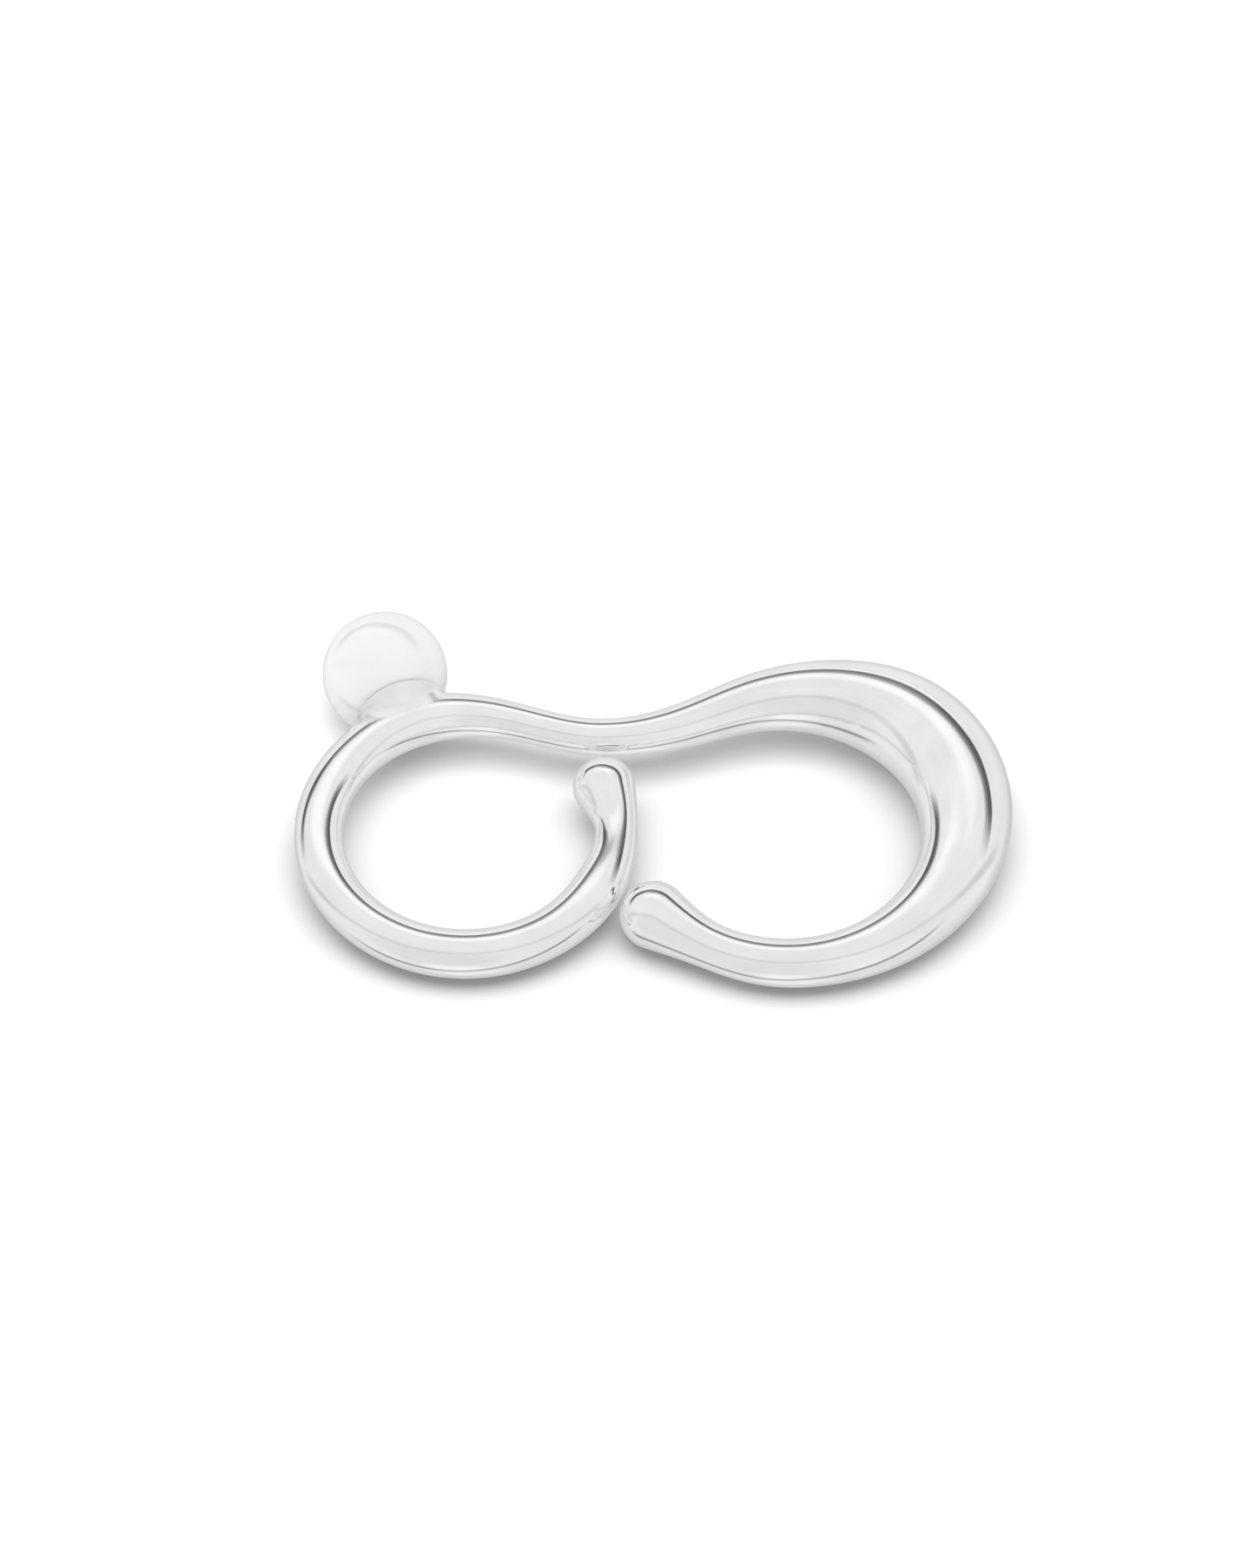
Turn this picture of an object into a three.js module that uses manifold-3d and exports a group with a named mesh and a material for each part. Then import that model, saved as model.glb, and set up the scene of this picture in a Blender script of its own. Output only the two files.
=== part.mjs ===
// An open ring for two neighbouring fingers: one polished silver wire drawn into two loops,
// with a half-drilled pearl set in a small cup on the outside of the smaller loop.
// Millimetres and degrees. The ring lies at rest on a table: +Z is up, +X runs from the small
// loop to the large one, and the origin is on the table under the middle of the ring.

import * as THREE from 'three';
import { mergeVertices } from 'three/addons/utils/BufferGeometryUtils.js';
import Module from 'manifold-3d';

const wasm = await Module();
wasm.setup();

// ---------------------------------------------------------------- driving dimensions

// The ring plane holds the wire's centreline. Angles are counter-clockwise from +X, taken at the
// centre of the finger hole that the wire goes round.
const smallHole = { x: -9.5, radius: 8.3 };
const largeHole = { x: 12, radius: 9.1 };

// The wire round the small hole has one thickness and covers this much of the circle.
const smallWire = { radius: 1.65, from: -22, to: -254, steps: 8 };

// The wire round the large hole swells to a belly: its radius at equal steps of angle.
const largeWire = { from: 100, to: -100, radii: [2, 2.6, 3.25, 3.35, 3, 2.45, 2, 1.7, 1.6] };

// The bar that joins the loops, and the two drop-shaped ends: x, y and wire radius.
const bridge = [[-7.4, 9.6, 1.35], [-1.5, 8.1, 1.25], [4.8, 8.9, 1.5]];
const smallEnd = [[-0.25, 3.8, 2.1], [0.5, 1.1, 1.5]];
const largeEnd = [[5.95, -8.8, 1.65], [3.1, -6.8, 2.3]];

// The pearl sits in the ring plane: its centre by angle and distance from the small hole's
// centre, and the angle that its axis points out at, away from the wire.
const pearl = { radius: 4.25, angle: 113, distance: 14.6, axisAngle: 109.5 };
const drilling = { radius: 0.6, depth: 5 };
const post = { radius: 0.4, inBand: 0.8, tip: 0.2, tipClearance: 0.3 };
const cup = { halfAngle: 43, lip: 0.12, foot: 1.3, base: 0.55, waist: 1.75, shoulder: 0.5 };
const glue = { film: 0.06, wall: 0.1, halfAngle: 38, topClearance: 0.6 };

// Clearance between neighbouring pieces.
const gap = 0.04;

// How the ring leans on the table: its back edge is raised on the pearl and the belly.
const rest = { pitch: 5.8, roll: -0.15 };

// Fineness of the facets.
const wireSteps = 132;
const wireSides = 20;
const capSteps = 5;
const turnedSides = 32;
const sphereStep = 7.5;
const flareSteps = 8;
const weldDistance = 1e-5;

// ---------------------------------------------------------------- materials

const silver = new THREE.MeshStandardMaterial({ color: 0xe6e6e6, roughness: 0.06, metalness: 1 });
const nacre = new THREE.MeshStandardMaterial({ color: 0xf3f0ee, roughness: 0.22, metalness: 0 });
const epoxy = new THREE.MeshStandardMaterial({ color: 0xe8e2d0, roughness: 0.3, metalness: 0 });

// ---------------------------------------------------------------- small helpers

const radians = THREE.MathUtils.degToRad;

function polar(centreX, distance, angle) {
  const x = centreX + distance * Math.cos(radians(angle));
  const y = distance * Math.sin(radians(angle));
  return [x, y];
}

function solidFrom(geometry) {
  geometry.deleteAttribute('normal');
  geometry.deleteAttribute('uv');
  const merged = mergeVertices(geometry, weldDistance);
  const mesh = new wasm.Mesh({
    numProp: 3,
    vertProperties: new Float32Array(merged.attributes.position.array),
    triVerts: new Uint32Array(merged.index.array),
  });
  return new wasm.Manifold(mesh);
}

function geometryFrom(solid) {
  const { vertProperties, triVerts } = solid.getMesh();
  const geometry = new THREE.BufferGeometry();
  geometry.setAttribute('position', new THREE.BufferAttribute(vertProperties, 3));
  geometry.setIndex(new THREE.BufferAttribute(triVerts, 1));
  geometry.computeVertexNormals();
  return geometry;
}

function namedMesh(name, solid, material) {
  const mesh = new THREE.Mesh(geometryFrom(solid), material);
  mesh.name = name;
  return mesh;
}

// ---------------------------------------------------------------- the wire

// A natural cubic spline through rows of numbers, over the given knots: it gives the row and
// its slope at any place along the knots.
function naturalSpline(knots, rows) {
  const last = knots.length - 1;
  const width = rows[0].length;
  const bend = rows.map(() => new Array(width).fill(0));
  const factor = new Array(last + 1).fill(0);
  for (let i = 1; i < last; i += 1) {
    const before = knots[i] - knots[i - 1];
    const after = knots[i + 1] - knots[i];
    const pivot = 2 * (before + after) - before * factor[i - 1];
    factor[i] = after / pivot;
    for (let c = 0; c < width; c += 1) {
      const rise = (rows[i + 1][c] - rows[i][c]) / after;
      const fall = (rows[i][c] - rows[i - 1][c]) / before;
      bend[i][c] = (6 * (rise - fall) - before * bend[i - 1][c]) / pivot;
    }
  }
  for (let i = last - 1; i > 0; i -= 1) {
    for (let c = 0; c < width; c += 1) {
      bend[i][c] -= factor[i] * bend[i + 1][c];
    }
  }
  return (place) => {
    let i = 0;
    while (i < last - 1 && place > knots[i + 1]) {
      i += 1;
    }
    const span = knots[i + 1] - knots[i];
    const b = (place - knots[i]) / span;
    const a = 1 - b;
    const value = [];
    const slope = [];
    for (let c = 0; c < width; c += 1) {
      const curveA = ((a ** 3 - a) * bend[i][c] * span ** 2) / 6;
      const curveB = ((b ** 3 - b) * bend[i + 1][c] * span ** 2) / 6;
      value.push(a * rows[i][c] + b * rows[i + 1][c] + curveA + curveB);
      const tilt = ((3 * b ** 2 - 1) * bend[i + 1][c] - (3 * a ** 2 - 1) * bend[i][c]) / 6;
      slope.push((rows[i + 1][c] - rows[i][c]) / span + tilt * span);
    }
    return { value, slope };
  };
}

// The wire's centreline as stations of x, y and wire radius, from the small end to the large end.
// Round a hole, the wire's inner side touches the finger.
function wireStations() {
  const stations = [...smallEnd];
  for (let i = 0; i <= smallWire.steps; i += 1) {
    const angle = THREE.MathUtils.lerp(smallWire.from, smallWire.to, i / smallWire.steps);
    const distance = smallHole.radius + smallWire.radius;
    stations.push([...polar(smallHole.x, distance, angle), smallWire.radius]);
  }
  stations.push(...bridge);
  largeWire.radii.forEach((radius, i) => {
    const share = i / (largeWire.radii.length - 1);
    const angle = THREE.MathUtils.lerp(largeWire.from, largeWire.to, share);
    stations.push([...polar(largeHole.x, largeHole.radius + radius, angle), radius]);
  });
  stations.push(...largeEnd);
  return stations;
}

// Rings of the wire's skin: the envelope of a ball of changing radius that rolls along the
// centreline. Each ring has its centre, the direction of travel, how far it sits ahead of the
// ball's centre, and its own radius. The ends close as half balls.
function wireRings() {
  const stations = wireStations();
  const knots = [0];
  for (let i = 1; i < stations.length; i += 1) {
    const dx = stations[i][0] - stations[i - 1][0];
    const dy = stations[i][1] - stations[i - 1][1];
    knots.push(knots[i - 1] + Math.hypot(dx, dy));
  }
  const spline = naturalSpline(knots, stations);
  const length = knots[knots.length - 1];
  const balls = [];
  for (let i = 0; i <= wireSteps; i += 1) {
    const { value, slope } = spline((i / wireSteps) * length);
    const speed = Math.hypot(slope[0], slope[1]);
    const centre = new THREE.Vector3(value[0], value[1], 0);
    const along = new THREE.Vector3(slope[0] / speed, slope[1] / speed, 0);
    balls.push({ centre, along, ball: value[2], latitude: Math.asin(-slope[2] / speed) });
  }
  const ringAt = ({ centre, along, ball }, latitude) => ({
    centre,
    along,
    ahead: ball * Math.sin(latitude),
    radius: ball * Math.cos(latitude),
  });
  const first = balls[0];
  const last = balls[balls.length - 1];
  const rings = [];
  for (let i = 0; i < capSteps; i += 1) {
    rings.push(ringAt(first, THREE.MathUtils.lerp(-Math.PI / 2, first.latitude, i / capSteps)));
  }
  balls.forEach((ball) => rings.push(ringAt(ball, ball.latitude)));
  for (let i = 1; i <= capSteps; i += 1) {
    rings.push(ringAt(last, THREE.MathUtils.lerp(last.latitude, Math.PI / 2, i / capSteps)));
  }
  return rings;
}

// A straight turned wire, bent so that each of its rings lies on the centreline.
function wireSolid() {
  const rings = wireRings();
  const profile = rings.map((ring, i) => {
    const onAxis = i === 0 || i === rings.length - 1;
    return new THREE.Vector2(onAxis ? 0 : ring.radius, i);
  });
  const geometry = new THREE.LatheGeometry(profile, wireSides);
  const position = geometry.attributes.position;
  const up = new THREE.Vector3(0, 0, 1);
  const point = new THREE.Vector3();
  const across = new THREE.Vector3();
  for (let i = 0; i < position.count; i += 1) {
    const ring = rings[i % rings.length];
    across.crossVectors(up, ring.along);
    point.copy(ring.centre);
    point.addScaledVector(ring.along, ring.ahead);
    point.addScaledVector(across, -position.getX(i));
    point.addScaledVector(up, position.getZ(i));
    position.setXYZ(i, point.x, point.y, point.z);
  }
  return solidFrom(geometry);
}

// ---------------------------------------------------------------- the pearl's setting

// The setting's pieces are turned about the pearl's axis. A profile point is a radius and a
// height above the seat, the point where that axis meets the wire's centreline circle.
const pearlHeight = seatDepth();

function seatDepth() {
  const lean = radians(pearl.angle - pearl.axisAngle);
  const centreline = smallHole.radius + smallWire.radius;
  const sideways = pearl.distance * Math.sin(lean);
  return pearl.distance * Math.cos(lean) - Math.sqrt(centreline ** 2 - sideways ** 2);
}

function turned(points) {
  const geometry = new THREE.LatheGeometry(points, turnedSides);
  // the lathe's axis is +Y: bring the pearl's height to the origin, turn the axis, then place it
  geometry.translate(0, -pearlHeight, 0);
  geometry.rotateZ(radians(pearl.axisAngle - 90));
  const centre = polar(smallHole.x, pearl.distance, pearl.angle);
  geometry.translate(centre[0], centre[1], 0);
  return solidFrom(geometry);
}

// Points of a ball round the pearl's centre, from one angle to another. The angle is 0 at the
// ball's foot, next to the wire, and 180 at its top.
function ballArc(radius, from, to) {
  const steps = Math.ceil(Math.abs(to - from) / sphereStep);
  const points = [];
  for (let i = 0; i <= steps; i += 1) {
    const angle = radians(THREE.MathUtils.lerp(from, to, i / steps));
    const x = Math.abs(to) === 180 && i === steps ? 0 : radius * Math.sin(angle);
    points.push(new THREE.Vector2(x, pearlHeight - radius * Math.cos(angle)));
  }
  return points;
}

function angleAtRadius(ballRadius, radius) {
  return THREE.MathUtils.radToDeg(Math.asin(radius / ballRadius));
}

const drillTop = pearlHeight - pearl.radius + drilling.depth;

function pearlSolid() {
  const profile = [new THREE.Vector2(0, drillTop), new THREE.Vector2(drilling.radius, drillTop)];
  profile.push(...ballArc(pearl.radius, angleAtRadius(pearl.radius, drilling.radius), 180));
  return turned(profile);
}

// The cup is a thin bowl on a foot. Its outside is upright from the foot's edge to the shoulder,
// a share of the foot's height, and flares from there to the lip.
const bowlRadius = pearl.radius + gap + glue.film + gap;
const cupFloor = pearlHeight - bowlRadius;

function cupOutside(offset) {
  const angle = radians(cup.halfAngle);
  const lipRadius = (bowlRadius + cup.lip) * Math.sin(angle);
  const lipHeight = pearlHeight - (bowlRadius + cup.lip) * Math.cos(angle);
  const foot = new THREE.Vector2(cup.foot + offset, cupFloor - cup.base - offset);
  const shoulder = new THREE.Vector2(cup.foot + offset, foot.y * cup.shoulder);
  const waist = new THREE.Vector2(cup.waist + offset, -offset);
  const lip = new THREE.Vector2(lipRadius + offset, lipHeight - offset);
  const flare = new THREE.QuadraticBezierCurve(shoulder, waist, lip);
  return [foot, ...flare.getPoints(flareSteps)];
}

function cupSolid() {
  const hole = post.radius + gap;
  const profile = [new THREE.Vector2(hole, cupFloor - cup.base)];
  profile.push(...cupOutside(0));
  profile.push(...ballArc(bowlRadius, cup.halfAngle, angleAtRadius(bowlRadius, hole)));
  profile.push(profile[0].clone());
  return turned(profile);
}

// What is milled out of the wire to seat the cup, its post and the underside of the pearl.
function seatSolid() {
  const bottom = cupFloor - cup.base - gap;
  const outside = cupOutside(gap);
  const lip = outside[outside.length - 1];
  const above = lip.y + smallWire.radius;
  const postEnd = bottom - post.inBand - gap;
  const profile = [
    new THREE.Vector2(0, postEnd),
    new THREE.Vector2(post.radius + gap, postEnd),
    new THREE.Vector2(post.radius + gap, bottom),
    ...outside,
    new THREE.Vector2(lip.x, above),
    new THREE.Vector2(0, above),
  ];
  return turned(profile);
}

function postSolid() {
  const low = cupFloor - cup.base - gap - post.inBand;
  const high = drillTop - post.tipClearance;
  return turned([
    new THREE.Vector2(0, low),
    new THREE.Vector2(post.radius, low),
    new THREE.Vector2(post.radius, high - post.tip),
    new THREE.Vector2(post.tip, high),
    new THREE.Vector2(0, high),
  ]);
}

// The glue fills the drilling round the post and spreads as a film between bowl and pearl.
function glueSolid() {
  const inner = post.radius + gap;
  const outer = inner + glue.wall;
  const under = pearl.radius + gap + glue.film;
  const over = pearl.radius + gap;
  const top = drillTop - glue.topClearance;
  const profile = ballArc(under, angleAtRadius(under, inner), glue.halfAngle);
  profile.push(...ballArc(over, glue.halfAngle, angleAtRadius(over, outer)));
  profile.push(new THREE.Vector2(outer, top), new THREE.Vector2(inner, top));
  profile.push(profile[0].clone());
  return turned(profile);
}

// ---------------------------------------------------------------- the assembly

const ring = new THREE.Group();
ring.add(namedMesh('band', wireSolid().subtract(seatSolid()), silver));
ring.add(namedMesh('pearl_cup', cupSolid(), silver));
ring.add(namedMesh('pearl_post', postSolid(), silver));
ring.add(namedMesh('pearl_glue', glueSolid(), epoxy));
ring.add(namedMesh('pearl', pearlSolid(), nacre));

// lay the ring down, then bring the table up to it
ring.rotation.set(radians(rest.pitch), radians(rest.roll), 0);
ring.updateMatrixWorld(true);
const box = new THREE.Box3().setFromObject(ring, true);
ring.position.set(-(box.min.x + box.max.x) / 2, -(box.min.y + box.max.y) / 2, -box.min.z);

const part = new THREE.Group();
part.add(ring);

export default part;
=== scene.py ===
"""A two-finger ring in polished silver with a pearl, lying on a white table in soft studio light.

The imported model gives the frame. The wire, the pearl and its cup are rebuilt here with fine, smooth
surfaces at the same places and sizes; the post and the glue inside the pearl keep their CAD meshes.
Named lengths are in millimetres and named angles in degrees; Blender gets metres and radians.
"""

import math

import bpy
import numpy as np
from mathutils import Matrix, Vector
from mathutils.kdtree import KDTree


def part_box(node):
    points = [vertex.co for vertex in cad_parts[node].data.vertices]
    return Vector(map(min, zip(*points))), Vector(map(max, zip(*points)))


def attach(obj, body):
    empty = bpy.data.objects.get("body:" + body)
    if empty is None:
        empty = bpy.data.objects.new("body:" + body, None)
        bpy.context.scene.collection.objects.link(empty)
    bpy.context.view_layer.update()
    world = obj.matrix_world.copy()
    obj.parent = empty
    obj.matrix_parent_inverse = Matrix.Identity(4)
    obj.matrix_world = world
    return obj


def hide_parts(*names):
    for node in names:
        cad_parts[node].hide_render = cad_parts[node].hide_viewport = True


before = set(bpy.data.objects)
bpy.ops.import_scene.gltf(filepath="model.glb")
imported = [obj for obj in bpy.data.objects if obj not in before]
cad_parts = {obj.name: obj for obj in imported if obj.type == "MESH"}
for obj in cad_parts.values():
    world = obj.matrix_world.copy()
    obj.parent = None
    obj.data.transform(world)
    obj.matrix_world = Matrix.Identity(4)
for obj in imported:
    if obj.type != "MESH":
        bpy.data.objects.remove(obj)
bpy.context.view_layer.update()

MM = 0.001

# ------------------------------------------------------------------ the ring's dimensions

# The ring plane holds the wire's centreline. Angles are counter-clockwise from +X, taken at the
# centre of the finger hole that the wire goes round.
SMALL_HOLE_X, SMALL_HOLE_RADIUS = -9.5, 8.3
LARGE_HOLE_X, LARGE_HOLE_RADIUS = 12.0, 9.1

# The wire round the small hole has one thickness. Round the large hole it swells to a belly: its
# radius is given at equal steps of angle.
SMALL_WIRE_RADIUS = 1.65
SMALL_WIRE_ANGLES = np.linspace(-22, -254, 9)
LARGE_WIRE_ANGLES = np.linspace(100, -100, 9)
LARGE_WIRE_RADII = (2, 2.6, 3.25, 3.35, 3, 2.45, 2, 1.7, 1.6)

# The bar that joins the loops, and the two drop-shaped ends: x, y and wire radius.
BRIDGE = ((-7.4, 9.6, 1.35), (-1.5, 8.1, 1.25), (4.8, 8.9, 1.5))
SMALL_END = ((-0.25, 3.8, 2.1), (0.5, 1.1, 1.5))
LARGE_END = ((5.95, -8.8, 1.65), (3.1, -6.8, 2.3))

# The pearl's centre by angle and distance from the small hole's centre, and its axis's angle.
PEARL_RADIUS = 4.25
PEARL_ANGLE, PEARL_DISTANCE, PEARL_AXIS_ANGLE = 113, 14.6, 109.5
DRILL_RADIUS, DRILL_DEPTH = 0.6, 5

# The cup is a part of a ball about the pearl's centre, on a foot. Its post goes down into the wire.
BOWL_RADIUS = 4.39
CUP_HALF_ANGLE = 43
CUP_LIP = 0.12
CUP_FOOT, CUP_BASE = 1.3, 0.55
POST_HOLE, POST_IN_BAND = 0.44, 0.88
LIP_OUTSIDE = BOWL_RADIUS + CUP_LIP

# The solder fillet leaves the cup's ball at this share of the way up from where the ball would run
# into the wire. It lands on the wire's skin this many times as far from the seat, along the wire
# and round it, and sinks a little into the skin over the first part of its length.
FILLET_START = 0.55
FILLET_ALONG, FILLET_ROUND = 1.35, 1.3
FILLET_PULL = 0.42
FILLET_SUNK = 0.012
FILLET_SUNK_PARTS = 6
# The wall left over the fillet is nowhere lower than this angle.
WALL_LEAST = 1.5

# How the ring leans on the table.
REST_PITCH, REST_ROLL = 5.8, -0.15

# Fineness of the rebuilt surfaces, and of the search for where the cup meets the wire.
WIRE_STEPS = 900
WIRE_SIDES = 96
END_STEPS = 14
TURNED_SIDES = 96
PEARL_ROWS = 90
FILLET_ROWS = 16
WALL_ROWS = 8
LIP_ROWS = 8
BOWL_ROWS = 16
SEARCH_STEPS = 20000
HALVINGS = 30

# A cut leaves the edges sharp that turn by more than this angle.
SHARP_FROM = 40.0

# ------------------------------------------------------------------ where the design lies

pitch_turn = Matrix.Rotation(math.radians(REST_PITCH), 4, "X")
roll_turn = Matrix.Rotation(math.radians(REST_ROLL), 4, "Y")
rest_turn = pitch_turn @ roll_turn


def heading(azimuth, height):
    """A unit vector, from its azimuth, counter-clockwise from +X, and its angle above the floor."""
    turn, rise = math.radians(azimuth), math.radians(height)
    return (math.cos(rise) * math.cos(turn), math.cos(rise) * math.sin(turn), math.sin(rise))


def polar(centre_x, distance, angle):
    """A point of the ring plane, from its distance and angle about a finger hole's centre."""
    turn = math.radians(angle)
    return np.array([centre_x + distance * math.cos(turn), distance * math.sin(turn), 0.0])


pearl_centre = polar(SMALL_HOLE_X, PEARL_DISTANCE, PEARL_ANGLE)
pearl_low, pearl_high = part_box("pearl")
pearl_in_frame = (pearl_low + pearl_high) / 2 / MM
rest_place = Matrix.Translation(pearl_in_frame - rest_turn @ Vector(pearl_centre))
design_to_frame = Matrix.Scale(MM, 4) @ rest_place @ rest_turn


def metres(lengths):
    return tuple(length * MM for length in lengths)


def make_piece(name, points, faces, material, place=None):
    """A smooth mesh from points in the design's millimetres, moved to where the ring lies.
    place lays out the polishing marks."""
    mesh = bpy.data.meshes.new(name)
    mesh.from_pydata([tuple(p) for p in points], [], faces)
    if place is not None:
        layer = mesh.attributes.new("surface_place", "FLOAT_VECTOR", "POINT")
        layer.data.foreach_set("vector", np.asarray(place, np.float32).ravel())
    mesh.transform(design_to_frame)
    mesh.validate()
    mesh.polygons.foreach_set("use_smooth", [True] * len(mesh.polygons))
    mesh.materials.append(material)
    piece = bpy.data.objects.new(name, mesh)
    bpy.context.scene.collection.objects.link(piece)
    return piece


def grid_faces(rows, columns):
    """Quads between neighbouring rows of points, each row a closed loop of columns."""
    faces = []
    for row in range(rows - 1):
        for column in range(columns):
            beside = (column + 1) % columns
            a = row * columns
            b = a + columns
            faces.append((a + column, a + beside, b + beside, b + column))
    return faces


# ------------------------------------------------------------------ the wire


class NaturalSpline:
    """A natural cubic spline through rows of numbers, over the given knots."""

    def __init__(self, knots, rows):
        self.knots = np.asarray(knots, float)
        self.rows = np.asarray(rows, float)
        spans = np.diff(self.knots)
        slopes = np.diff(self.rows, axis=0) / spans[:, None]
        count = len(self.knots)
        system = np.eye(count)
        target = np.zeros_like(self.rows)
        for i in range(1, count - 1):
            system[i, i - 1 : i + 2] = spans[i - 1], 2 * (spans[i - 1] + spans[i]), spans[i]
            target[i] = 6 * (slopes[i] - slopes[i - 1])
        self.bends = np.linalg.solve(system, target)

    def __call__(self, places):
        places = np.atleast_1d(places)
        i = np.clip(np.searchsorted(self.knots, places) - 1, 0, len(self.knots) - 2)
        span = (self.knots[i + 1] - self.knots[i])[:, None]
        b = (places[:, None] - self.knots[i][:, None]) / span
        a = 1 - b
        low, high = self.rows[i], self.rows[i + 1]
        bend_low, bend_high = self.bends[i], self.bends[i + 1]
        value = a * low + b * high
        value += ((a**3 - a) * bend_low + (b**3 - b) * bend_high) * span**2 / 6
        slope = (high - low) / span
        slope += ((3 * b**2 - 1) * bend_high - (3 * a**2 - 1) * bend_low) * span / 6
        return value, slope


def wire_stations():
    """x, y and wire radius along the wire, from the small end to the large end."""
    stations = list(SMALL_END)
    for angle in SMALL_WIRE_ANGLES:
        point = polar(SMALL_HOLE_X, SMALL_HOLE_RADIUS + SMALL_WIRE_RADIUS, angle)
        stations.append((point[0], point[1], SMALL_WIRE_RADIUS))
    stations += BRIDGE
    for angle, radius in zip(LARGE_WIRE_ANGLES, LARGE_WIRE_RADII):
        point = polar(LARGE_HOLE_X, LARGE_HOLE_RADIUS + radius, angle)
        stations.append((point[0], point[1], radius))
    stations += LARGE_END
    return np.array(stations, float)


stations = wire_stations()
steps_apart = np.linalg.norm(np.diff(stations[:, :2], axis=0), axis=1)
knots = np.concatenate([[0], np.cumsum(steps_apart)])
wire_line = NaturalSpline(knots, stations)
wire_length = knots[-1]

UP = np.array([0.0, 0.0, 1.0])


def wire_frames(places):
    """Centre, direction of travel, direction across, ball radius and contact latitude."""
    value, slope = wire_line(places)
    speed = np.hypot(slope[:, 0], slope[:, 1])
    flat = np.zeros((len(value), 1))
    centre = np.hstack([value[:, :2], flat])
    along = np.hstack([slope[:, :2] / speed[:, None], flat])
    across = np.cross(UP, along)
    latitude = np.arcsin(-slope[:, 2] / speed)
    return centre, along, across, value[:, 2], latitude


def wire_skin(places, turns, latitude=None):
    """Points and normals of the wire's skin. turns is in radians: 0 faces the direction across
    the wire, and a quarter turn faces up."""
    centre, along, across, ball, contact = wire_frames(places)
    latitude = contact if latitude is None else latitude
    side = np.cos(turns)[:, None] * across + np.sin(turns)[:, None] * UP
    normal = np.sin(latitude)[:, None] * along + np.cos(latitude)[:, None] * side
    return centre + ball[:, None] * normal, normal


def wire_mesh():
    """The whole wire as rings of points, closed at each end by a half ball."""
    places = np.linspace(0, wire_length, WIRE_STEPS + 1)
    contact = wire_frames(places)[4]
    start = np.linspace(-math.pi / 2, contact[0], END_STEPS + 1)[1:-1]
    end = np.linspace(contact[-1], math.pi / 2, END_STEPS + 1)[1:-1]
    row_places = np.concatenate([np.zeros(len(start)), places, np.full(len(end), wire_length)])
    row_latitudes = np.concatenate([start, contact, end])
    turns = np.linspace(0, 2 * math.pi, WIRE_SIDES, endpoint=False)
    rows = len(row_places)
    all_places = np.repeat(row_places, WIRE_SIDES)
    all_latitudes = np.repeat(row_latitudes, WIRE_SIDES)
    all_turns = np.tile(turns, rows)
    points = wire_skin(all_places, all_turns, all_latitudes)[0]
    faces = grid_faces(rows, WIRE_SIDES)
    caps = ((0.0, -math.pi / 2, 0), (wire_length, math.pi / 2, rows - 1))
    poles = []
    for place, latitude, row in caps:
        pole = wire_skin(np.array([place]), np.array([0.0]), np.array([latitude]))[0]
        poles.append(pole[0])
        tip = len(points) + len(poles) - 1
        for column in range(WIRE_SIDES):
            near = row * WIRE_SIDES + column
            far = row * WIRE_SIDES + (column + 1) % WIRE_SIDES
            faces.append((near, tip, far) if row == 0 else (near, far, tip))
    points = np.vstack([points, poles])
    radius = wire_frames(all_places)[3]
    grain = np.stack([radius * np.cos(all_turns), radius * np.sin(all_turns), all_places], axis=1)
    grain = np.vstack([grain, [(0, 0, 0)], [(0, 0, wire_length)]])
    return points, faces, grain


# ------------------------------------------------------------------ the pearl's setting

# The setting's pieces are turned about the pearl's axis. Heights are measured along it, from the
# point where it meets the wire's centreline.
axis_turn = math.radians(PEARL_AXIS_ANGLE)
AXIS = np.array([math.cos(axis_turn), math.sin(axis_turn), 0.0])
BESIDE = np.array([-math.sin(axis_turn), math.cos(axis_turn), 0.0])


def seat_height():
    """The pearl centre's height above the seat."""
    lean = math.radians(PEARL_ANGLE - PEARL_AXIS_ANGLE)
    centreline = SMALL_HOLE_RADIUS + SMALL_WIRE_RADIUS
    sideways = PEARL_DISTANCE * math.sin(lean)
    return PEARL_DISTANCE * math.cos(lean) - math.sqrt(centreline**2 - sideways**2)


PEARL_HEIGHT = seat_height()
SEAT = pearl_centre - PEARL_HEIGHT * AXIS
BOWL_FLOOR = PEARL_HEIGHT - BOWL_RADIUS
turned_angles = np.linspace(0, 2 * math.pi, TURNED_SIDES, endpoint=False)
turned_sides = np.cos(turned_angles)[:, None] * BESIDE + np.sin(turned_angles)[:, None] * UP


def turned_row(radius, height):
    """A ring of points about the pearl's axis."""
    return SEAT + height * AXIS + radius * turned_sides


def ball_row(radius, angle):
    """A ring of points on a ball about the pearl's centre. The angle is 0 next to the wire."""
    turn = math.radians(angle)
    return turned_row(radius * math.sin(turn), PEARL_HEIGHT - radius * math.cos(turn))


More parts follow.
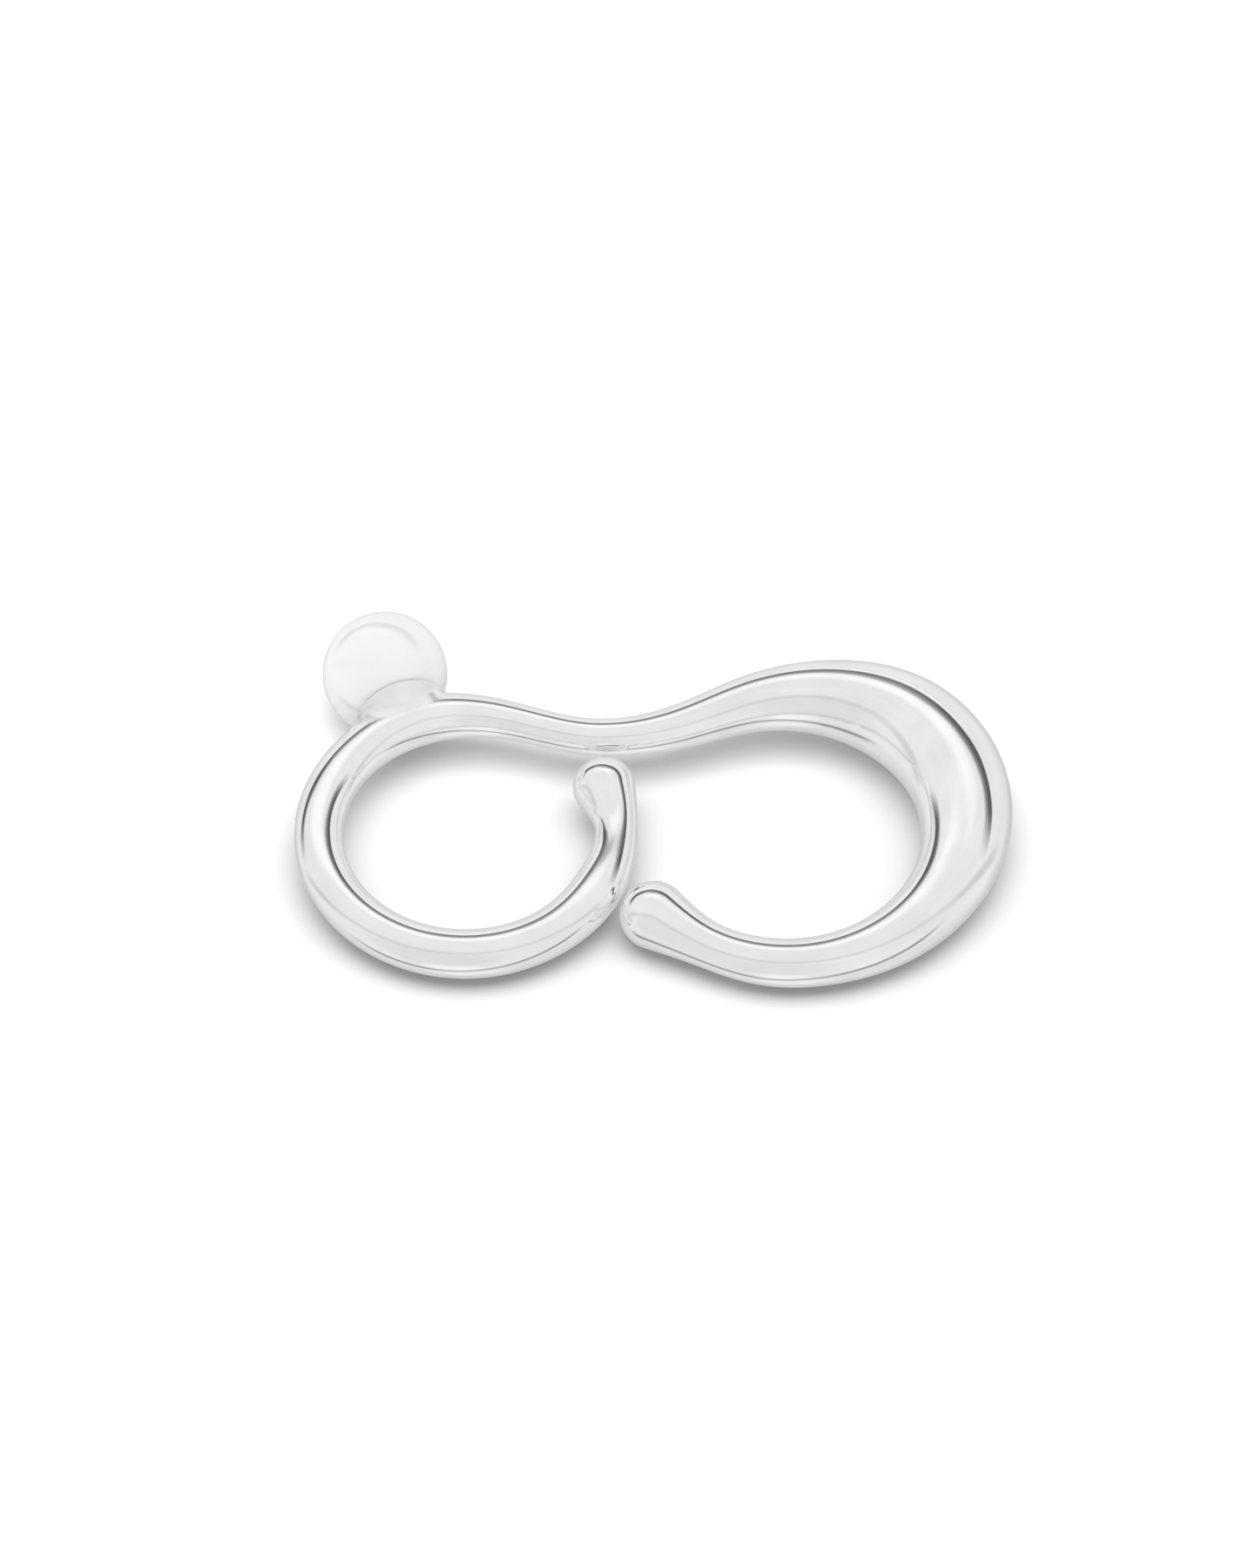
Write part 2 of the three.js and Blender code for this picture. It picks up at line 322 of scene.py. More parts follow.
def pearl_mesh():
    """A ball with a drilling up its axis."""
    mouth = math.degrees(math.asin(DRILL_RADIUS / PEARL_RADIUS))
    drill_top = PEARL_HEIGHT - PEARL_RADIUS + DRILL_DEPTH
    rows = [turned_row(DRILL_RADIUS, drill_top)]
    rows += [ball_row(PEARL_RADIUS, angle) for angle in np.linspace(mouth, 180, PEARL_ROWS)[:-1]]
    count = len(rows)
    faces = grid_faces(count, TURNED_SIDES)
    points = np.vstack(rows + [SEAT + drill_top * AXIS, SEAT + (PEARL_HEIGHT + PEARL_RADIUS) * AXIS])
    bottom, top = len(points) - 2, len(points) - 1
    last = (count - 1) * TURNED_SIDES
    for column in range(TURNED_SIDES):
        beside = (column + 1) % TURNED_SIDES
        faces.append((bottom, beside, column))
        faces.append((top, last + column, last + beside))
    return points, faces


def wire_near_seat():
    """Places along the wire near the seat, with their centres, directions across and radii."""
    places = np.linspace(0, wire_length, SEARCH_STEPS + 1)
    centre = wire_frames(places)[0]
    near = places[np.linalg.norm(centre - SEAT, axis=1) < 2 * PEARL_RADIUS]
    centre, _, across, radius, _ = wire_frames(near)
    return near, centre, across, radius


def nearest_wire(points):
    """How far points are outside the wire near the seat, and the index of the nearest place."""
    away = np.linalg.norm(points[:, None] - near_centres[None], axis=2) - near_radii
    return away.min(axis=1), away.argmin(axis=1)


near_places, near_centres, near_across, near_radii = wire_near_seat()
seat_place = near_places[nearest_wire(SEAT[None])[1][0]]


def ball_points(angles):
    """Points of the cup's outer ball, at one angle for each of the turned sides."""
    turns = np.radians(angles)[:, None]
    centre = SEAT + PEARL_HEIGHT * AXIS
    return centre + LIP_OUTSIDE * (np.sin(turns) * turned_sides - np.cos(turns) * AXIS)


def cup_meets_wire():
    """The angle on the cup's outer ball where it runs into the wire, for each turned side."""
    inside = np.zeros(TURNED_SIDES)
    outside = np.full(TURNED_SIDES, float(CUP_HALF_ANGLE))
    for _ in range(HALVINGS):
        middle = (inside + outside) / 2
        within = nearest_wire(ball_points(middle))[0] < 0
        inside = np.where(within, middle, inside)
        outside = np.where(within, outside, middle)
    return outside


def unit(rows):
    """Each row scaled to a length of 1."""
    return rows / np.linalg.norm(rows, axis=1)[:, None]


def cup_outside_rows():
    """Rings of points over the cup's outside, from the edge of its foot to the rim."""
    meeting = cup_meets_wire()
    met = ball_points(meeting)
    index = nearest_wire(met)[1]
    outward = near_across[index]
    outward = outward * np.sign(outward @ AXIS)[:, None]
    rise = met - near_centres[index]
    turns = np.arctan2(rise @ UP, (rise * outward).sum(axis=1)) * FILLET_ROUND
    side = np.sign(near_across[index] @ AXIS)
    turns = np.where(side > 0, turns, math.pi - turns)
    places = seat_place + (near_places[index] - seat_place) * FILLET_ALONG
    landing, landing_normal = wire_skin(places, turns)
    start_angles = meeting + (CUP_HALF_ANGLE - meeting) * FILLET_START
    start_angles = np.minimum(start_angles, CUP_HALF_ANGLE - WALL_LEAST)
    start = ball_points(start_angles)
    reach = start - landing
    length = np.linalg.norm(reach, axis=1)[:, None]
    leave = unit(reach - (reach * landing_normal).sum(axis=1)[:, None] * landing_normal)
    arrive = np.radians(start_angles)[:, None]
    arrive = np.cos(arrive) * turned_sides + np.sin(arrive) * AXIS
    acute = ((meeting - meeting.min()) / np.ptp(meeting))[:, None]
    arrive = unit(arrive * (1 - acute) + unit(reach) * acute)
    first_pull = landing + FILLET_PULL * length * leave
    last_pull = start - FILLET_PULL * length * arrive
    foot_low = BOWL_FLOOR - CUP_BASE
    rows = [turned_row(CUP_FOOT, foot_low), turned_row(CUP_FOOT, foot_low / 2)]
    for share in np.linspace(0, 1, FILLET_ROWS):
        rest = 1 - share
        row = rest**3 * landing + 3 * rest**2 * share * first_pull
        row += 3 * rest * share**2 * last_pull + share**3 * start
        sunk = FILLET_SUNK * max(0.0, 1 - FILLET_SUNK_PARTS * share)
        rows.append(row - sunk * landing_normal)
    for share in np.linspace(0, 1, WALL_ROWS)[1:]:
        rows.append(ball_points(start_angles + (CUP_HALF_ANGLE - start_angles) * share))
    return rows


def cup_mesh():
    """A thin bowl on a foot, closed all round, with its fillet running out onto the wire."""
    rows = [turned_row(POST_HOLE, BOWL_FLOOR - CUP_BASE)] + cup_outside_rows()
    for turn in np.linspace(0, math.pi, LIP_ROWS)[1:]:
        middle = BOWL_RADIUS + CUP_LIP / 2
        rise = math.degrees(math.sin(turn) * CUP_LIP / 2 / middle)
        rows.append(ball_row(middle + CUP_LIP / 2 * math.cos(turn), CUP_HALF_ANGLE + rise))
    mouth = math.degrees(math.asin(POST_HOLE / BOWL_RADIUS))
    for angle in np.linspace(CUP_HALF_ANGLE, mouth, BOWL_ROWS)[1:]:
        rows.append(ball_row(BOWL_RADIUS, angle))
    count = len(rows)
    faces = grid_faces(count, TURNED_SIDES)
    last = (count - 1) * TURNED_SIDES
    for column in range(TURNED_SIDES):
        beside = (column + 1) % TURNED_SIDES
        faces.append((last + column, last + beside, beside, column))
    return np.vstack(rows), faces


def seat_cutter_mesh():
    """What is milled out of the wire: the cup's outside with its bowl filled, and the post's hole."""
    foot_low = BOWL_FLOOR - CUP_BASE
    rows = [turned_row(POST_HOLE, foot_low - POST_IN_BAND), turned_row(POST_HOLE, foot_low)]
    rows += cup_outside_rows()
    rows.append(rows[-1] + SMALL_WIRE_RADIUS * AXIS)
    points = np.vstack(rows)
    faces = grid_faces(len(rows), TURNED_SIDES)
    faces.append(tuple(reversed(range(TURNED_SIDES))))
    faces.append(tuple(range(len(points) - TURNED_SIDES, len(points))))
    return points, faces


def carry_place(whole, part):
    """Gives each point of a cut mesh the surface_place of the nearest point of the whole one."""
    tree = KDTree(len(whole.vertices))
    for vertex in whole.vertices:
        tree.insert(vertex.co, vertex.index)
    tree.balance()
    before = whole.attributes["surface_place"].data
    after = part.attributes["surface_place"].data
    for vertex in part.vertices:
        nearest = tree.find(vertex.co)[1]
        after[vertex.index].vector = before[nearest].vector


def cut(piece, cutter):
    """Takes one closed mesh out of another for good, and removes the cutter."""
    modifier = piece.modifiers.new("cut", "BOOLEAN")
    modifier.object = cutter
    modifier.operation = "DIFFERENCE"
    modifier.solver = "EXACT"
    whole = piece.data
    evaluated = piece.evaluated_get(bpy.context.evaluated_depsgraph_get())
    piece.data = bpy.data.meshes.new_from_object(evaluated)
    piece.modifiers.clear()
    piece.data.set_sharp_from_angle(angle=math.radians(SHARP_FROM))
    carry_place(whole, piece.data)
    bpy.data.meshes.remove(whole)
    cutter_mesh = cutter.data
    bpy.data.objects.remove(cutter)
    bpy.data.meshes.remove(cutter_mesh)


# ------------------------------------------------------------------ node trees


class Nodes:
    """Makes a node tree in few words. A socket or a number may be given wherever an input goes."""

    def __init__(self, tree):
        self.tree = tree
        tree.nodes.clear()

    def add(self, kind, settings=None, **inputs):
        made = self.tree.nodes.new(kind)
        for name, value in (settings or {}).items():
            setattr(made, name, value)
        for name, value in inputs.items():
            self.feed(made.inputs[name.replace("_", " ")], value)
        return made

    def feed(self, socket, value):
        if isinstance(value, bpy.types.NodeSocket):
            self.tree.links.new(value, socket)
        else:
            socket.default_value = value

    def math(self, operation, *values):
        made = self.tree.nodes.new("ShaderNodeMath")
        made.operation = operation
        for socket, value in zip(made.inputs, values):
            self.feed(socket, value)
        return made.outputs[0]

    def dot(self, vector, other):
        made = self.tree.nodes.new("ShaderNodeVectorMath")
        made.operation = "DOT_PRODUCT"
        self.feed(made.inputs[0], vector)
        self.feed(made.inputs[1], other)
        return made.outputs["Value"]

    def ramp(self, value, low, high, out_low=0.0, out_high=1.0):
        """A smooth step from out_low, at low, to out_high, at high."""
        made = self.tree.nodes.new("ShaderNodeMapRange")
        made.interpolation_type = "SMOOTHSTEP"
        for socket, number in zip(made.inputs, (value, low, high, out_low, out_high)):
            self.feed(socket, number)
        return made.outputs[0]

    def stretched(self, vector, scale):
        made = self.tree.nodes.new("ShaderNodeVectorMath")
        made.operation = "MULTIPLY"
        self.feed(made.inputs[0], vector)
        self.feed(made.inputs[1], scale)
        return made.outputs[0]

    def noise(self, vector, scale, detail=2.0):
        made = self.add("ShaderNodeTexNoise", Vector=vector, Scale=scale, Detail=detail)
        return made.outputs["Fac"]


def new_material(name):
    material = bpy.data.materials.new(name)
    material.use_nodes = True
    nodes = Nodes(material.node_tree)
    shader = nodes.add("ShaderNodeBsdfPrincipled")
    output = nodes.add("ShaderNodeOutputMaterial")
    nodes.tree.links.new(shader.outputs[0], output.inputs["Surface"])
    return material, nodes, shader


def set_inputs(nodes, shader, values):
    for name, value in values.items():
        nodes.feed(shader.inputs[name], value)


# ------------------------------------------------------------------ materials

# Noise from 0 to 1 is mostly between these two values.
NOISE_LOW, NOISE_HIGH = 0.3, 0.7
PATCHES_FROM = 0.35

# Silver. Noise scales are per millimetre of surface_place.
STREAK_SCALE, STREAK_DETAIL = 1.0, 3.0
HAZE_SCALE = 0.35
GRAIN_SCALE, GRAIN_DETAIL, GRAIN_SHADE = 0.6, 4.0, 0.95
ROUGHEST_STREAK = 1.6
# Distances from the pearl's centre: the silver is satin up to the first, and polished from the
# second on.
SATIN_NEAR, SATIN_FAR = 4.7, 6.4
SATIN_ROUGHNESS = 0.27

# Nacre. It grows unevenly, so its lustre leans a little from the true ball, and is duller towards
# one side. Noise scales from here on are per metre.
# The second colour tints random blush patches. It also paints a sheen onto the rim, which turns
# pinker and a little darker where the pearl is seen edge-on. The Layer Weight blend sets how far in
# that painted sheen reaches.
PEARL_WHITE, PEARL_BLUSH_AND_PAINTED_SHEEN = (0.9, 0.9, 0.895, 1), (0.9, 0.865, 0.85, 1)
CLOUD_SCALE, CLOUD_DETAIL = 260.0, 3.0
GROWTH_SCALE, GROWTH_DEPTH = 900.0, 0.004
PAINTED_SHEEN_BLEND = 0.35
PEARL_LEAN = (0.08, -0.12, -0.05)
DULL_HEADING = (20, 0)
DULL_FROM, DULL_TO = -0.5 * PEARL_RADIUS, 0.9 * PEARL_RADIUS
LUSTRE_ROUGHNESS, DULL_ROUGHNESS = 0.09, 0.3

# Glue. Its dark grey base colour is painted shadow, for the thin gap between the pearl and the cup's
# lip.
EPOXY_SCALE = 1500.0
EPOXY_PAINTED_SHADOW = (0.3, 0.29, 0.28, 1)
EPOXY_ROUGHNESS = (0.12, 0.3)

pearl_centre_place = tuple((pearl_low + pearl_high) / 2)


def vector_math(nodes, operation, first, second=None):
    """A vector maths node with its inputs filled in."""
    made = nodes.add("ShaderNodeVectorMath", {"operation": operation})
    nodes.feed(made.inputs[0], first)
    if second is not None:
        nodes.feed(made.inputs[1], second)
    return made


def grey(nodes, shade):
    return nodes.add("ShaderNodeCombineColor", Red=shade, Green=shade, Blue=shade).outputs[0]


def object_place(nodes):
    return nodes.add("ShaderNodeTexCoord").outputs["Object"]


def silver(name, polish, streak_scale, streak_depth, tarnish):
    """Polished silver. Polishing leaves long faint streaks along surface_place's third axis, and
    a coarser finish where a tool can't reach."""
    material, nodes, shader = new_material(name)
    place = nodes.add("ShaderNodeAttribute", {"attribute_name": "surface_place"}).outputs["Vector"]
    streaks = nodes.noise(nodes.stretched(place, streak_scale), STREAK_SCALE, STREAK_DETAIL)
    grain = nodes.noise(nodes.stretched(place, streak_scale), GRAIN_SCALE, GRAIN_DETAIL)
    hazy = nodes.ramp(nodes.noise(place, HAZE_SCALE), PATCHES_FROM, NOISE_HIGH, tarnish, 1.0)
    grainy = nodes.ramp(grain, NOISE_LOW, NOISE_HIGH, GRAIN_SHADE, 1.0)
    bump = nodes.add("ShaderNodeBump", Height=streaks, Strength=1.0, Distance=streak_depth * MM)
    from_pearl = vector_math(nodes, "DISTANCE", object_place(nodes), pearl_centre_place)
    away = from_pearl.outputs["Value"]
    coarse = nodes.ramp(away, SATIN_NEAR * MM, SATIN_FAR * MM, SATIN_ROUGHNESS, 0.0)
    fine = nodes.ramp(streaks, NOISE_LOW, NOISE_HIGH, polish, polish * ROUGHEST_STREAK)
    set_inputs(
        nodes,
        shader,
        {
            "Base Color": grey(nodes, nodes.math("MULTIPLY", hazy, grainy)),
            "Metallic": 1.0,
            "Roughness": nodes.math("ADD", fine, coarse),
            "Normal": bump.outputs[0],
        },
    )
    return material


def pearl_skin():
    """White nacre: a chalky body under a clear, slightly wavy lustre. Its colour has random blush
    patches and a painted sheen: the rim is tinted pinker and a little darker where seen edge-on.
    """
    material, nodes, shader = new_material("white_nacre")
    place = object_place(nodes)
    clouds = nodes.noise(place, CLOUD_SCALE, CLOUD_DETAIL)
    growth = nodes.noise(place, GROWTH_SCALE)
    blush = nodes.ramp(clouds, PATCHES_FROM, NOISE_HIGH)
    # Painted sheen: how edge-on the surface faces the view tints the rim pinker and a little darker,
    # on top of the random blush patches.
    edge = nodes.add("ShaderNodeLayerWeight", Blend=PAINTED_SHEEN_BLEND).outputs["Facing"]
    blush_and_painted_sheen = nodes.math("MULTIPLY", nodes.math("ADD", blush, edge), 0.5)
    colour = nodes.add("ShaderNodeMix", {"data_type": "RGBA"})
    nodes.feed(colour.inputs["Factor"], blush_and_painted_sheen)
    nodes.feed(colour.inputs[6], PEARL_WHITE)
    nodes.feed(colour.inputs[7], PEARL_BLUSH_AND_PAINTED_SHEEN)
    outward = nodes.add("ShaderNodeNewGeometry").outputs["Normal"]
    leaning = vector_math(nodes, "ADD", outward, PEARL_LEAN)
    straight = vector_math(nodes, "NORMALIZE", leaning.outputs[0]).outputs[0]
    depth = GROWTH_DEPTH * MM
    bump = nodes.add("ShaderNodeBump", Height=growth, Normal=straight, Strength=1.0, Distance=depth)
    from_centre = vector_math(nodes, "SUBTRACT", place, pearl_centre_place)
    dull = nodes.dot(from_centre.outputs[0], heading(*DULL_HEADING))
    set_inputs(
        nodes,
        shader,
        {
            "Base Color": colour.outputs[2],
            "Roughness": nodes.ramp(
                dull, DULL_FROM * MM, DULL_TO * MM, LUSTRE_ROUGHNESS, DULL_ROUGHNESS
            ),
            "IOR": 2.0,
            "Subsurface Weight": 0.25,
            "Subsurface Radius": (1.0, 0.9, 0.85),
            "Subsurface Scale": 0.8 * MM,
            "Coat Weight": 1.0,
            "Coat Roughness": 0.08,
            "Coat IOR": 1.8,
            "Normal": bump.outputs[0],
            "Coat Normal": bump.outputs[0],
        },
    )
    return material


def epoxy():
    """Clear glue, seen at most as a thin line. Its base colour is a dark grey that paints the
    shadow in the gap between the pearl and the cup's lip.
    """
    material, nodes, shader = new_material("clear_epoxy")
    clouding = nodes.noise(object_place(nodes), EPOXY_SCALE)
    set_inputs(
        nodes,
        shader,
        {
            # A dark grey: painted shadow in the gap between the pearl and the cup's lip.
            "Base Color": EPOXY_PAINTED_SHADOW,
            "Roughness": nodes.ramp(clouding, NOISE_LOW, NOISE_HIGH, *EPOXY_ROUGHNESS),
            "Transmission Weight": 0.2,
            "IOR": 1.5,
        },
    )
    return material


# Each silver's roughness, its streaks' scale and depth, and its shade where it is hazy.
band_silver = silver("polished_silver", 0.035, (2.2, 2.2, 0.09), 0.0012, 0.955)
cup_silver = silver("cup_silver", 0.05, (1.6, 1.6, 1.6), 0.001, 0.93)
post_silver = silver("post_silver", 0.2, (3.0, 3.0, 3.0), 0.004, 0.9)

# ------------------------------------------------------------------ pieces

wire_points, wire_faces, wire_grain = wire_mesh()
wire = make_piece("wire_band", wire_points, wire_faces, band_silver, wire_grain)
cut(wire, make_piece("seat_cutter", *seat_cutter_mesh(), band_silver))
cup_points, cup_faces = cup_mesh()
bowl_cup = make_piece("bowl_cup", cup_points, cup_faces, cup_silver, cup_points)
nacre_ball = make_piece("nacre_ball", *pearl_mesh(), pearl_skin())

for piece, node, slot in (
    (wire, "band", "polished_silver"),
    (bowl_cup, "pearl_cup", "cup_silver"),
    (nacre_ball, "pearl", "white_nacre"),
):
    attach(piece, "root")
    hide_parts(node)

for node, material in (("pearl_post", post_silver), ("pearl_glue", epoxy())):
    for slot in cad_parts[node].material_slots:
        slot.material = material

# ------------------------------------------------------------------ the room

# What the silver reflects. A direction is its azimuth, counter-clockwise from +X, and its angle
# above the horizon. A stripe is a pole, the stripe's offset in degrees from the great circle about
# that pole, its half width and its softness. A glow is a direction, and how many degrees from it
# the glow is full and gone. Levels are linear. A shade is the share of the light that is missing,
# and a light is a level that is added.
PLAIN_LEVEL = 1.05
BASE_LEVEL = 0.84

# The room's own floor, which starts and is complete at these sines of the angle above the horizon.
FLOOR_LEVEL = BASE_LEVEL * 0.9
FLOOR_FROM, FLOOR_TO = -0.34, -0.64
BACK_FLOOR, BACK_FLOOR_SHADE = ((85, -52), 8, 60), 0.2

# The faint grey hoop in front.
HOOP, HOOP_SHADE = ((270, -42.3), -2.5, 5, 3.5), 0.13
HOOP_EXTENT = ((270, 0), 97, 112)
HOOP_MIDDLE, HOOP_SIDES_SHADE = ((270, 40), 50, 85), 0.12
HOOP_HAZE, HOOP_HAZE_SHADE = ((250, 14), 22, 45), 0.08

# The dark arc behind. Its edges are in sines of the angle from its own circle.
ARC_POLE, ARC_OFFSET = (246, 54.5), 5.3
ARC_EXTENT = ((82, 0), 61, 82)
ARC_FOOT = (-0.165, -0.105)
ARC_TOP = (0.21, 0.10)
ARC_CORE = (0.14, -0.06, 0.66, 1.0)
ARC_RISE, ARC_RISE_BY = ((97, 38), 12, 42), 0.06
ARC_LEFT, ARC_LEFT_CUT = ((135, 32), 12, 34), 0.08
ARC_RIGHT, ARC_RIGHT_CUT = ((48, 44), 8, 30), 0.04
ARC_SHADE = 0.87
ARC_PALER, ARC_PALER_BY = ((98, 36), 4, 26), 0.12
UNDER_ARC_END = (-0.26, -0.18)
UNDER_ARC_EXTENT, UNDER_ARC_LIGHT = ((92, 27), 12, 36), 0.15
OVER_ARC = (ARC_POLE, 28, 6.5, 4.5)
OVER_ARC_EXTENT, OVER_ARC_LIGHT = ((97, 58), 10, 34), 0.16

# The thinner dark arc in front, and the light below and above it.
FRONT_ARC, FRONT_SHADE = ((240, 57), -8.6, 4.6, 1.8), 0.42
FRONT_EXTENT = ((265, 0), 60, 75)
FRONT_MIDDLE, FRONT_SIDES_SHADE = ((270, -36), 10, 28), 0.25
FRONT_BELOW = ((270, -54), 8, 22)
FRONT_ABOVE = ((262, -23), 7, 20)
FRONT_LIGHT = 0.12

world = bpy.data.worlds.new("studio")
world.use_nodes = True
bpy.context.scene.world = world
room = Nodes(world.node_tree)
toward = room.add("ShaderNodeTexCoord").outputs["Generated"]


def from_circle(pole, offset):
    """The sine of a direction's angle from a pole's circle, which is offset from the great one."""
    return room.math("SUBTRACT", room.dot(toward, heading(*pole)), math.sin(math.radians(offset)))


def stripe(pole, offset, half_width, softness):
    """1 inside a stripe round the sky."""
    away = room.math("ABSOLUTE", from_circle(pole, offset))
    near = math.sin(math.radians(half_width - softness))
    far = math.sin(math.radians(half_width + softness))
    return room.ramp(away, far, near)


def glow(centre, inner, outer):
    """1 within inner degrees of a direction, fading to 0 at outer degrees."""
    return room.ramp(
        room.dot(toward, heading(*centre)),
        math.cos(math.radians(outer)),
        math.cos(math.radians(inner)),
    )


def scaled(amount, factor):
    return room.math("MULTIPLY", amount, factor)


def beyond(amount):
    """1 where amount is 0, and 0 where it is 1."""
    return room.math("SUBTRACT", 1.0, amount)


def product(*values):
    made = values[0]
    for value in values[1:]:
        made = room.math("MULTIPLY", made, value)
    return made


def shaded(level, amount, shade):
    """Takes a share of the light away where amount is 1."""
    return room.math("MULTIPLY", level, beyond(scaled(amount, shade)))


def brightened(level, amount, light):
    """Adds light where amount is 1."""
    return room.math("ADD", level, scaled(amount, light))


height = room.dot(toward, (0, 0, 1))
level = room.ramp(height, FLOOR_TO, FLOOR_FROM, FLOOR_LEVEL, BASE_LEVEL)
level = shaded(level, glow(*BACK_FLOOR), BACK_FLOOR_SHADE)

# The hoop in front is darker at both sides.
hoop = product(stripe(*HOOP), glow(*HOOP_EXTENT))
level = shaded(level, hoop, HOOP_SHADE)
level = shaded(level, product(hoop, beyond(glow(*HOOP_MIDDLE))), HOOP_SIDES_SHADE)
level = shaded(level, glow(*HOOP_HAZE), HOOP_HAZE_SHADE)

# Bright patches over the dark arc behind, and above and below the one in front.
over_arc = product(stripe(*OVER_ARC), glow(*OVER_ARC_EXTENT))
level = brightened(level, over_arc, OVER_ARC_LIGHT)
level = brightened(level, glow(*FRONT_BELOW), FRONT_LIGHT)
level = brightened(level, glow(*FRONT_ABOVE), FRONT_LIGHT)

# The dark arc behind rises in the middle and is narrower at its sides. It has a crisp lower edge,
# with light under it, and a soft upper one.
off_arc = from_circle(ARC_POLE, ARC_OFFSET)
off_arc = room.math("SUBTRACT", off_arc, scaled(glow(*ARC_RISE), ARC_RISE_BY))
left_cut = scaled(glow(*ARC_LEFT), ARC_LEFT_CUT)
right_cut = scaled(glow(*ARC_RIGHT), ARC_RIGHT_CUT)
off_arc_top = room.math("ADD", off_arc, room.math("ADD", left_cut, right_cut))
arc_foot = room.ramp(off_arc, *ARC_FOOT)
arc_top = room.ramp(off_arc_top, *ARC_TOP)
arc_core = room.ramp(off_arc, *ARC_CORE)
back_arc = product(arc_foot, arc_top, arc_core, glow(*ARC_EXTENT))
arc_shade = room.math("SUBTRACT", ARC_SHADE, scaled(glow(*ARC_PALER), ARC_PALER_BY))
under_arc = product(room.ramp(off_arc, *reversed(ARC_FOOT)), room.ramp(off_arc, *UNDER_ARC_END))
level = brightened(level, product(under_arc, glow(*UNDER_ARC_EXTENT)), UNDER_ARC_LIGHT)
level = shaded(level, room.math("MULTIPLY", back_arc, arc_shade), 1.0)

# The arc in front is darker at both sides.
front_arc = product(stripe(*FRONT_ARC), glow(*FRONT_EXTENT))
level = shaded(level, front_arc, FRONT_SHADE)
front_sides = product(front_arc, beyond(glow(*FRONT_MIDDLE)))
level = shaded(level, front_sides, FRONT_SIDES_SHADE)

rays = room.add("ShaderNodeLightPath").outputs
reflected = room.add("ShaderNodeBackground", Strength=level)
plain = room.add("ShaderNodeBackground", Strength=PLAIN_LEVEL)
for background in (reflected, plain):
    background.inputs["Color"].default_value = (1, 1, 1, 1)
choice = room.add("ShaderNodeMixShader")
room.feed(choice.inputs[0], rays["Is Glossy Ray"])
room.feed(choice.inputs[1], plain.outputs[0])
room.feed(choice.inputs[2], reflected.outputs[0])
world_output = room.add("ShaderNodeOutputWorld")
room.feed(world_output.inputs["Surface"], choice.outputs[0])

# ------------------------------------------------------------------ the table and its light

# The table is wide, white and matt, and the silver reflects the room's own floor instead of it.
# Its paint is darkest under the ring and pale from a distance on. This is painted shade: it cancels
# the bright pool of the near key light, so the table shows evenly white, and it deepens the ring's
# shadow. Distances along X count for less, because the key light is long along X.
TABLE_REACH = 1500
TABLE_SHADE, TABLE_PALE = 0.46, 0.98
TABLE_NEAR, TABLE_FAR = 8, 60
TABLE_MIDDLE = (0, -16, 0)
TABLE_STRETCH = (0.3, 1, 0)
MOTTLE_SCALE = 40.0
MOTTLE_SHADE = (0.99, 1.01)
KEY_PLACE = (0, -10, 60)
KEY_SIZE = (400, 50)
KEY_SPREAD = 100.0
KEY_POWER = 0.12


def table_paint():
    material, nodes, shader = new_material("table_paint")
    place = object_place(nodes)
    mottle = nodes.noise(place, MOTTLE_SCALE)
    squeezed = nodes.stretched(place, TABLE_STRETCH)
    away = vector_math(nodes, "DISTANCE", squeezed, metres(TABLE_MIDDLE)).outputs["Value"]
    # Painted shade: darker paint near the middle offsets the key light's bright pool and darkens the
    # ring's shadow.
    painted_table_shade = nodes.ramp(away, TABLE_NEAR * MM, TABLE_FAR * MM, TABLE_SHADE, TABLE_PALE)
    mottled = nodes.ramp(mottle, NOISE_LOW, NOISE_HIGH, *MOTTLE_SHADE)
    colour = grey(nodes, nodes.math("MULTIPLY", painted_table_shade, mottled))
    set_inputs(nodes, shader, {"Base Color": colour, "Roughness": 0.9, "Specular IOR Level": 0.0})
    return material


